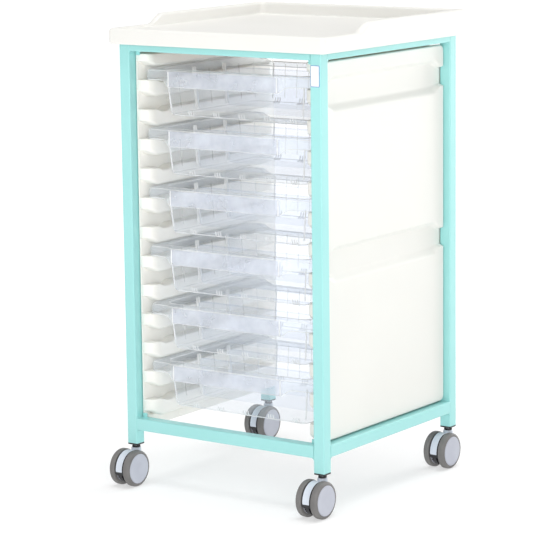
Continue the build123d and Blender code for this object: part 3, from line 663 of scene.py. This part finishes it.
def tub_ring(inset, z):
    """Loop round the drafted wall; z is below the rim."""
    taper = BODY_DRAFT * -z / TRAY_HEIGHT
    half = BODY_HALF - taper - inset
    return plan_loop(half, BODY_FRONT + taper * 0.65 + inset, BODY_REAR - taper * 0.65 - inset,
                     max(BODY_CORNER - inset, 4.0), z)


def dipped(ring):
    """Lower the middle of a loop's rear side with the rear rim."""
    out = []
    for x, y, z in ring:
        if y > BODY_REAR - 2.0:
            z -= REAR_DIP * (1 - smooth_step((abs(x) - DIP_HALF + 8) / 8.0))
        out.append((x, y, z))
    return out


WALL_LOOK, HANDLE_LOOK, RIM_LOOK, FLOOR_LOOK = range(4)


def tray_shell():
    """Rings from the middle of the floor up the wall, out over the rim and down to the skirt's inner edge."""
    floor = -TRAY_HEIGHT
    rings = [tub_ring(60.0, floor + 0.2), tub_ring(FLOOR_ROUNDING + 6, floor + 0.2)]
    rings.append(tub_ring(FLOOR_ROUNDING, floor))
    for i in range(1, 8):
        a = math.pi / 2 * i / 7
        rings.append(tub_ring(FLOOR_ROUNDING * (1 - math.sin(a)), floor + FLOOR_ROUNDING * (1 - math.cos(a))))
    rings.append(tub_ring(0.0, floor + 30))
    rings.append(tub_ring(0.0, floor + 62))
    rings.append(dipped(tub_ring(0.0, -12.5)))
    rings.append(dipped(tub_ring(0.0, -2.5)))
    rings.append(dipped(tub_ring(-0.7, -0.8)))
    rings.append(dipped(tub_ring(-2.4, 0.0)))
    rim_row = len(rings) - 1
    for i in range(7):
        rings.append(rolled_ring(math.pi / 2 * (1 - i / 6)))
    rings.append(rim_ring(0.0, -SKIRT + 3.0, 0.9))
    rings.append(rim_ring(0.0, -SKIRT + 0.6, 1.0))
    rings.append(rim_ring(0.5, -SKIRT, 1.0))
    rings.append(rim_ring(1.5, -SKIRT, 1.0))
    rings.append(rim_ring(2.0, -SKIRT + 0.6, 1.0))
    rings.append(rim_ring(2.0, -3.0, 0.0))
    verts, faces = skin(rings, cap_start=True, cap_end=False)
    count = len(rings[0])
    slots = []
    handle_rows = range(len(rings) - 7, len(rings) - 1)
    for index in range(len(faces)):
        row, column = divmod(index, count)
        look = WALL_LOOK
        if row < 2 or row == len(rings) - 1:
            look = FLOOR_LOOK
        elif row >= rim_row:
            look = RIM_LOOK
        if row in handle_rows and column < LONG_POINTS and abs(rings[row][column][0]) < HANDLE_FLAT + 1:
            look = HANDLE_LOOK
        slots.append(look)
    return verts, faces, slots


def wall_y(z, rear):
    """Where the outside of the drafted front or rear wall stands at a height below the rim."""
    taper = BODY_DRAFT * -z / TRAY_HEIGHT * 0.65
    return BODY_REAR - taper if rear else BODY_FRONT + taper


def leaning_rib(x, depth, z0, z1, rear, thick):
    """Thin rib standing in from the front or rear wall and following its draft."""
    rings = []
    for z in (z0, z1):
        y = wall_y(z, rear)
        inner = y - depth if rear else y + depth
        x0, x1 = x - thick / 2, x + thick / 2
        rings.append([(x0, y, z), (x1, y, z), (x1, inner, z), (x0, inner, z)])
    return skin(rings)


def side_rib(y, depth, z0, z1, side, thick):
    """The same on a side wall."""
    rings = []
    for z in (z0, z1):
        x = side * (BODY_HALF - BODY_DRAFT * -z / TRAY_HEIGHT)
        inner = x - side * depth
        y0, y1 = y - thick / 2, y + thick / 2
        rings.append([(x, y0, z), (x, y1, z), (inner, y1, z), (inner, y0, z)])
    return skin(rings)


DIVIDER_YS = sorted({round((v.co.y - FRONT) / MM, 1) for v in nodes["tray_1_dividers"].data.vertices})
DIVIDER_MIDDLES = [sum(DIVIDER_YS[:2]) / 2, sum(DIVIDER_YS[-2:]) / 2]
END_GAP = 3.2


def tray_ribs():
    """Thin upright ribs on the rear wall and, one in the middle of each compartment, on the side walls."""
    parts = []
    for x in REAR_RIBS_X:
        parts.append(leaning_rib(x, 2.4, -84, -14, True, 1.4))
    for side in (-1, 1):
        for y in SIDE_RIBS_Y:
            parts.append(side_rib(y, 2.0, -84, -12, side, 1.0))
    return merged(parts)


def floor_stroke(x, rear, thick):
    """Short curved rib that follows the rounded edge between the floor and the front or rear wall."""
    low = wall_y(-TRAY_HEIGHT + FLOOR_ROUNDING, rear)
    way = -1 if rear else 1
    rings = []
    for i in range(9):
        a = math.radians(-10 + 110 * i / 8)
        ring = []
        for radius in (FLOOR_ROUNDING - 0.2, FLOOR_ROUNDING - 2.4):
            y = low + way * (FLOOR_ROUNDING - radius * math.cos(a))
            z = -TRAY_HEIGHT + FLOOR_ROUNDING - radius * math.sin(a)
            sides = (-1, 1) if radius > FLOOR_ROUNDING - 1 else (1, -1)
            ring.extend([(x + s * thick / 2, y, z) for s in sides])
        rings.append(ring)
    return skin(rings)


def corner_bead(side, rear, z0, z1, radius):
    """Thickened vertical corner of the tub, drawn milky so that it shows as a bright line: partly a thicker
    wall, partly painted highlight.
    """
    rings = []
    for z in (z0, z1):
        taper = BODY_DRAFT * -z / TRAY_HEIGHT
        reach = BODY_CORNER * (1 - math.cos(math.pi / 4)) + radius * 0.8
        cx = side * (BODY_HALF - taper - reach)
        cy = wall_y(z, rear) + (-reach if rear else reach)
        rings.append([(cx + radius * math.cos(a), cy + radius * math.sin(a), z)
                      for a in [2 * math.pi * i / 10 for i in range(10)]])
    return skin(rings)


def loop_bead(loop, radius):
    """Closed bead that follows a level loop."""
    count = len(loop)
    rings = []
    for i, (x, y, z) in enumerate(loop):
        ax, ay, _ = loop[i - 1]
        bx, by, _ = loop[(i + 1) % count]
        length = math.hypot(bx - ax, by - ay)
        nx, ny = (by - ay) / length, -(bx - ax) / length
        rings.append([(x + nx * radius * math.cos(a), y + ny * radius * math.cos(a), z + radius * math.sin(a))
                      for a in [math.pi / 3 * k for k in range(6)]])
    return endless_skin(rings)


def edge_beads_and_highlights():
    """Milky beads and strips where the clear moulding is seen through its thickness: rims, floor edge, ribs,
    divider guides, corners and handle ends. Their white is partly painted highlight, standing in for light
    caught along these edges.
    """
    low = -TRAY_HEIGHT + FLOOR_ROUNDING * 0.3
    # The bead on the rounded rim edge is a painted highlight; the beads along the skirt, the inner rim edge and
    # the floor edge are milky lines that are partly painted highlight.
    parts = [loop_bead(rim_ring(1.0, -SKIRT + 0.8, 1.0), 1.0), loop_bead(dipped(tub_ring(-1.6, -0.8)), 0.8),
             loop_bead(rolled_ring(math.pi / 4), 0.6), loop_bead(tub_ring(FLOOR_ROUNDING * 0.32, low), 0.8)]
    # Short white slashes on the floor's rounded front and rear edges: ribs whose white is partly painted
    # highlight.
    for middle in FLOOR_STROKES_X:
        for offset in (-6.0, 0.0, 6.0):
            parts.append(floor_stroke(middle + offset, False, 1.5))
            parts.append(floor_stroke(middle + offset, True, 1.5))
    for x in (-STRONG_RIB_X, STRONG_RIB_X):
        parts.append(leaning_rib(x, 2.6, -86, -13, True, 2.4))
    for side in (-1, 1):
        for middle in DIVIDER_MIDDLES:
            for offset in (-3.6, 3.6):
                parts.append(side_rib(middle + offset, 3.4, -90, -6, side, 2.0))
        parts.append(corner_bead(side, False, -86, -23, 1.5))
        parts.append(corner_bead(side, True, -86, -14, 1.0))
        x = side * (HANDLE_FLAT + 1.2)
        y = HANDLE_FRONT - 0.2
        parts.append(slab(x - 1.3, x + 1.3, y, y + 2.2, -HANDLE_DROP + 1, -2.0, 0.6))
    return merged(parts)


def divider_parts():
    """Upright cross plates with rounded top corners and a thicker bead along the top."""
    parts = []
    for y in DIVIDER_MIDDLES:
        rings = []
        low, high = -TRAY_HEIGHT + 2.8, -14.0
        for offset in (-1.0, -0.7, 0.7, 1.0):
            inset = 0.35 if abs(offset) > 0.9 else 0.0
            ring = []
            for sx in (-1, 1):
                bottom = BODY_HALF - END_GAP - BODY_DRAFT * -low / TRAY_HEIGHT
                top = BODY_HALF - END_GAP - BODY_DRAFT * -high / TRAY_HEIGHT
                corner = [(bottom - 7 - inset, low + inset), (bottom - 2 - inset, low + 1.6),
                          (bottom - inset, low + 7), (top - inset, high - 6),
                          (top - 1.8 - inset, high - 1.8), (top - 6 - inset, high - inset)]
                points = [(sx * px, y + offset, z) for px, z in corner]
                ring.extend(points if sx < 0 else list(reversed(points)))
            rings.append(ring)
        parts.append(skin(rings))
        parts.append(slab(-BODY_HALF + 10, BODY_HALF - 10, y - 1.7, y + 1.7, high - 1.6, high + 1.2, 0.8))
    return merged(parts)


def lifted(part, z):
    return [(x, y, level + z) for x, y, level in part[0]], part[1]


shell_verts, shell_faces, shell_slots = tray_shell()
ribs = tray_ribs()
edges = edge_beads_and_highlights()
plates = divider_parts()
for name, top in TRAY_TOPS.items():
    body = name.replace("tray", "drawer")
    verts, faces = lifted((shell_verts, shell_faces), top)
    piece(name + "_moulding", verts, faces, CLEAR, body, "clear_plastic", [name], sharp=40,
          extra=[FROSTED, CLEAR_RIM, CLEAR_FLOOR],
          face_slots=shell_slots)
    piece(name + "_ribs", *lifted(ribs, top), CLEAR_RIB, body, "clear_plastic", sharp=30)
    # Milky edge beads of the tray, partly painted highlight.
    piece(name + "_edge_beads_and_highlights", *lifted(edges, top), EDGE_MILK_AND_HIGHLIGHT, body, "clear_plastic", sharp=30)
    piece(name + "_divider_plates", *lifted(plates, top), DIVIDER, body, "clear_plastic", [name + "_dividers"],
          sharp=30)


# ---------------------------------------------------------------- frame details
def fillet_prism(corner, across, up, radius, along, half_width):
    """Concave weld fillet in the corner between two tubes."""
    cx, cy, cz = corner
    rings = []
    points = [(0.0, 0.0), (radius, 0.0)]
    for i in range(1, 8):
        a = math.radians(270 - 90 * i / 8)
        points.append((radius + radius * math.cos(a), radius + radius * math.sin(a)))
    points.append((0.0, radius))
    for side in (-half_width, half_width):
        ring = []
        for p, q in points:
            x, y = cx, cy
            if along == "x":
                x += across * p
                y += side
            else:
                y += across * p
                x += side
            ring.append((x, y, cz + up * q))
        rings.append(ring)
    return skin(rings)


def weld_fillets():
    """Fillets where the rails meet the posts: below the top rails, and below and above the bottom rails."""
    parts = []
    inner_x = POST_X - HALF_TUBE
    top_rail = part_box("frame_top_rail_front")[0].z / MM
    low_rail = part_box("frame_bottom_rail_front")[0].z / MM
    radius = 5.5
    width = 11.4
    for side in (-1, 1):
        for y in (HALF_TUBE, FRAME_DEPTH - HALF_TUBE):
            parts.append(fillet_prism((side * inner_x, y, top_rail), -side, -1, radius, "x", width))
        parts.append(fillet_prism((side * inner_x, HALF_TUBE, low_rail), -side, -1, radius, "x", width))
        above = low_rail + 2 * HALF_TUBE
        parts.append(fillet_prism((side * inner_x, HALF_TUBE, above), -side, 1, 3.0, "x", width))
        for y, direction in ((2 * HALF_TUBE, 1), (FRAME_DEPTH - 2 * HALF_TUBE, -1)):
            parts.append(fillet_prism((side * POST_X, y, top_rail), direction, -1, radius, "y", width))
            parts.append(fillet_prism((side * POST_X, y, low_rail), direction, -1, radius, "y", width))
    return merged(parts)


piece("frame_weld_fillets", *weld_fillets(), FRAME_PAINT, "cabinet", "frame_paint", sharp=60)


# ---------------------------------------------------------------- castors
WHEEL_RADIUS, TRAIL, COLLAR_RADIUS = 37.5, 24.0, 10.2
GUARD_START, GUARD_END, GUARD_STEPS = 34, 186, 40


def tyre_profile(side):
    """Tread with a rounded outer shoulder, a shallow step on the outer face and a bead on the inner face."""
    points = [(11.0, 31.0), (11.0, 35.4), (11.4, 36.6), (12.4, 37.3), (13.6, 37.5), (20.0, 37.4)]
    points += [(19.6 + 5.6 * math.sin(a), 31.8 + 5.6 * math.cos(a)) for a in
               [math.radians(12 * i) for i in range(1, 8)]]
    points += [(25.5, 31.5), (25.4, 31.0)]
    return [(side * x, r) for x, r in points]


def hub_profile(side):
    """Domed cover disc with a fine groove at its rim, and the recessed inner face."""
    points = [(11.6, 3.1), (11.6, 7.0), (16.0, 7.4), (16.0, 27.6), (11.8, 28.0), (11.6, 30.4), (12.0, 30.95),
              (24.6, 30.95), (24.9, 30.6), (24.9, 30.1), (25.5, 29.9), (25.9, 29.4), (26.0, 28.4), (25.8, 24.0),
              (25.5, 15.0), (25.35, 7.0), (25.3, 0.02), (23.0, 0.02)]
    return [(side * x, r) for x, r in points]


def hood_mesh(cx, hub_y):
    """Curved pale guard between the wheels, with raised edges, from behind the collar over to the front."""
    right_half = [(6.2, 36.05), (6.8, 36.25), (7.4, 36.1), (7.8, 35.6), (7.8, 33.2)]
    section = [(-x, r) for x, r in reversed(right_half)] + right_half
    rings = []
    for i in range(GUARD_STEPS + 1):
        a = math.radians(GUARD_START + (GUARD_END - GUARD_START) * i / GUARD_STEPS)
        shrink = 0.7 if i in (0, GUARD_STEPS) else 0.0
        ring = []
        for x, r in section:
            reach = r - shrink if r > 35 else r
            px = cx + x * (1 - shrink * 0.04)
            ring.append((px, hub_y + reach * math.cos(a), WHEEL_RADIUS + reach * math.sin(a)))
        rings.append(ring)
    return skin(rings)


def guard_liner(cx, hub_y):
    """Dark inner guard, a little wider than the pale band, that runs on below the band's front end."""
    right_half = [(9.6, 35.3), (10.2, 34.6), (10.2, 31.5)]
    section = [(-x, r) for x, r in reversed(right_half)] + right_half
    rings = []
    for i in range(GUARD_STEPS + 1):
        a = math.radians(GUARD_START + (GUARD_END + 10 - GUARD_START) * i / GUARD_STEPS)
        rings.append([(cx + x, hub_y + r * math.cos(a), WHEEL_RADIUS + r * math.sin(a)) for x, r in section])
    return skin(rings)


def collar_mesh(cx, cy):
    """Stem collar: a short sleeve with a rounded top, flaring where it meets the guard."""
    profile = [(7.6, 60.0), (12.2, 60.0), (11.4, 63.0), (10.6, 66.5), (10.2, 70.0), (10.2, 74.2), (9.9, 75.3),
               (9.0, 75.95), (7.6, 76.0)]
    rings = []
    segments = 40
    for i in range(segments):
        a = 2 * math.pi * i / segments
        ring = []
        for r, z in profile:
            across = min(r, COLLAR_RADIUS + (r - COLLAR_RADIUS) * 0.6)
            ring.append((cx + across * math.cos(a), cy + r * math.sin(a), z))
        rings.append(ring)
    verts, faces = endless_skin(rings)
    return verts, [(a, d, c, b) for a, b, c, d in faces]


for where, (cx, cy) in CASTORS.items():
    hub_y = cy - TRAIL
    hood = merged([hood_mesh(cx, hub_y), collar_mesh(cx, cy)])
    castor = f"castor_{where}"
    piece(castor + "_guard", *hood, HOOD, castor, "castor_grey", [castor + "_hood"], sharp=40)
    piece(castor + "_guard_liner", *guard_liner(cx, hub_y), BLACK, castor, "black_plastic", sharp=40)
    for side, side_name in ((-1, "left"), (1, "right")):
        wheel = f"{castor}_{side_name}"
        tyre = turned(tyre_profile(side), cx, hub_y, WHEEL_RADIUS)
        hub = turned(hub_profile(side), cx, hub_y, WHEEL_RADIUS)
        piece(f"{wheel}_tread", *tyre, TYRE, f"{wheel}_wheel", "tyre_grey", [f"{wheel}_tyre"], sharp=35)
        piece(f"{wheel}_cover", *hub, HUB, f"{wheel}_wheel", "castor_grey", [f"{wheel}_hub"], sharp=35)


# ---------------------------------------------------------------- label
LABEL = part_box("blank_label")
LX0, LX1 = LABEL[0].x / MM, LABEL[1].x / MM
LZ0, LZ1 = LABEL[0].z / MM, LABEL[1].z / MM


def upright_loop(inset, y):
    """Rounded outline of the label, seen from the front."""
    loop = []
    r = max(1.5 - inset, 0.4)
    for cx, cz, start in ((LX1, LZ0, -90), (LX1, LZ1, 0), (LX0, LZ1, 90), (LX0, LZ0, 180)):
        sx = 1 if cx == LX1 else -1
        sz = 1 if cz == LZ1 else -1
        for i in range(5):
            a = math.radians(start + 90 * i / 4)
            loop.append((cx - sx * (inset + r) + r * math.cos(a), y, cz - sz * (inset + r) + r * math.sin(a)))
    return loop


label_rings = [upright_loop(inset, y) for inset, y in ((0.0, 0.0), (0.0, -0.45), (0.15, -0.6), (1.0, -0.6))]
label_mesh = skin(label_rings, cap_start=True, cap_end=True)
label_slots = [0 if len(face) > 4 else 1 for face in label_mesh[1]]
piece("blank_label_face", *label_mesh, LABEL_WHITE, "cabinet", "label_film", ["blank_label"],
      extra=[LABEL_BLUE], face_slots=label_slots)


# ---------------------------------------------------------------- carried-over CAD nodes
NODE_LOOKS = {
    "frame_": FRAME_PAINT,
    "liner_stop_tabs": FRAME_PAINT,
    "post_end_inserts": BLACK,
    "castor_bearing_rings": BLACK,
    "castor_stems": STEEL,
    "worktop_core": BOARD,
    "worktop_screws": STEEL,
    "panel_screws": LINER_WHITE,
}
for name, obj in nodes.items():
    look = None
    for start, material in NODE_LOOKS.items():
        if name.startswith(start):
            look = material
    if name.startswith("castor_") and name.endswith("_body"):
        look = BLACK
    if name.startswith("castor_") and name.endswith("_axle"):
        look = STEEL
    if look:
        obj.data.materials.clear()
        obj.data.materials.append(look)


# ---------------------------------------------------------------- studio
floor_mesh = bpy.data.meshes.new("studio_floor")
FLOOR_HALF = 30.0
floor_corners = [(x * FLOOR_HALF, y * FLOOR_HALF, 0) for x, y in ((-1, -1), (1, -1), (1, 1), (-1, 1))]
floor_mesh.from_pydata(floor_corners, [], [(0, 1, 2, 3)])
floor = bpy.data.objects.new("studio_floor", floor_mesh)
bpy.context.scene.collection.objects.link(floor)
floor_look = Maker("studio_floor")
floor_shader = floor_look.add("ShaderNodeBsdfPrincipled")
floor_tone = floor_look.noise(0.5, 4.0)
floor_look.link(floor_look.ramp(floor_tone, [(0.3, linear(188, 188, 188)), (0.7, linear(191, 191, 191))]),
                floor_shader.inputs["Base Color"])
floor_shader.inputs["Roughness"].default_value = 0.9
floor_shader.inputs["Specular IOR Level"].default_value = 0.1
# The floor glows although it is no lamp: emission 0.50 within half a metre of the middle, rising to 0.82 at two
# metres. This is painted light that lifts the shadow round the cabinet and keeps the far floor white.
floor_shader.inputs["Emission Color"].default_value = (1.0, 1.0, 1.0, 1.0)
distance = floor_look.add("ShaderNodeVectorMath", operation="LENGTH")
floor_look.link(floor_look.coords.outputs["Object"], distance.inputs[0])
floor_look.link(floor_look.span(distance.outputs["Value"], 0.5, 2.0, 0.50, 0.82),
                floor_shader.inputs["Emission Strength"])
floor_look.link(floor_shader.outputs["BSDF"], floor_look.out.inputs["Surface"])
floor_mesh.materials.append(floor_look.mat)

world = bpy.data.worlds.new("studio")
bpy.context.scene.world = world
world.use_nodes = True
backdrop = world.node_tree.nodes["Background"]
backdrop.inputs["Color"].default_value = (1.0, 1.0, 1.0, 1.0)
seen = world.node_tree.nodes.new("ShaderNodeLightPath")
strength = world.node_tree.nodes.new("ShaderNodeMapRange")
strength.inputs["To Min"].default_value = 0.46
strength.inputs["To Max"].default_value = 1.0
world.node_tree.links.new(seen.outputs["Is Camera Ray"], strength.inputs["Value"])
world.node_tree.links.new(strength.outputs["Result"], backdrop.inputs["Strength"])


def area_light(name, location, target, size, power, colour=(1, 1, 1)):
    data = bpy.data.lights.new(name, "AREA")
    data.shape = "DISK"
    data.size = size
    data.energy = power
    data.color = colour
    obj = bpy.data.objects.new(name, data)
    obj.location = location
    direction = Vector(target) - Vector(location)
    obj.rotation_euler = direction.to_track_quat("-Z", "Y").to_euler()
    bpy.context.scene.collection.objects.link(obj)
    return obj


area_light("front_right", (3.1, -3.7, 1.3), (0, 0, 0.5), 3.0, 92)
area_light("front_left", (-1.6, -4.4, 1.9), (0, 0, 0.5), 2.6, 12)
area_light("rear_right", (1.0, 4.6, 1.2), (0, 0, 0.5), 2.6, 115)
area_light("top", (0.3, 0.0, 7.0), (0, 0, 0.5), 6.0, 310)

# ---------------------------------------------------------------- camera
AZIMUTH, ELEVATION, ROLL = math.radians(35.47), math.radians(9.93), math.radians(-0.71)
forward = Vector((-math.sin(AZIMUTH) * math.cos(ELEVATION), math.cos(AZIMUTH) * math.cos(ELEVATION),
                  -math.sin(ELEVATION)))
right = Vector((math.cos(AZIMUTH), math.sin(AZIMUTH), 0.0))
up = right.cross(forward)
turned_right = right * math.cos(ROLL) + up * math.sin(ROLL)
turned_up = -right * math.sin(ROLL) + up * math.cos(ROLL)
camera_data = bpy.data.cameras.new("camera")
camera_data.lens = 171.49
camera_data.sensor_width = 36.0
camera = bpy.data.objects.new("camera", camera_data)
rotation = Matrix((turned_right, turned_up, -forward)).transposed().to_4x4()
camera.matrix_world = Matrix.Translation((2.9557, -4.2222, 1.3453)) @ rotation
bpy.context.scene.collection.objects.link(camera)
bpy.context.scene.camera = camera
bpy.context.scene.view_settings.view_transform = "Standard"
bpy.context.scene.cycles.transparent_max_bounces = 32
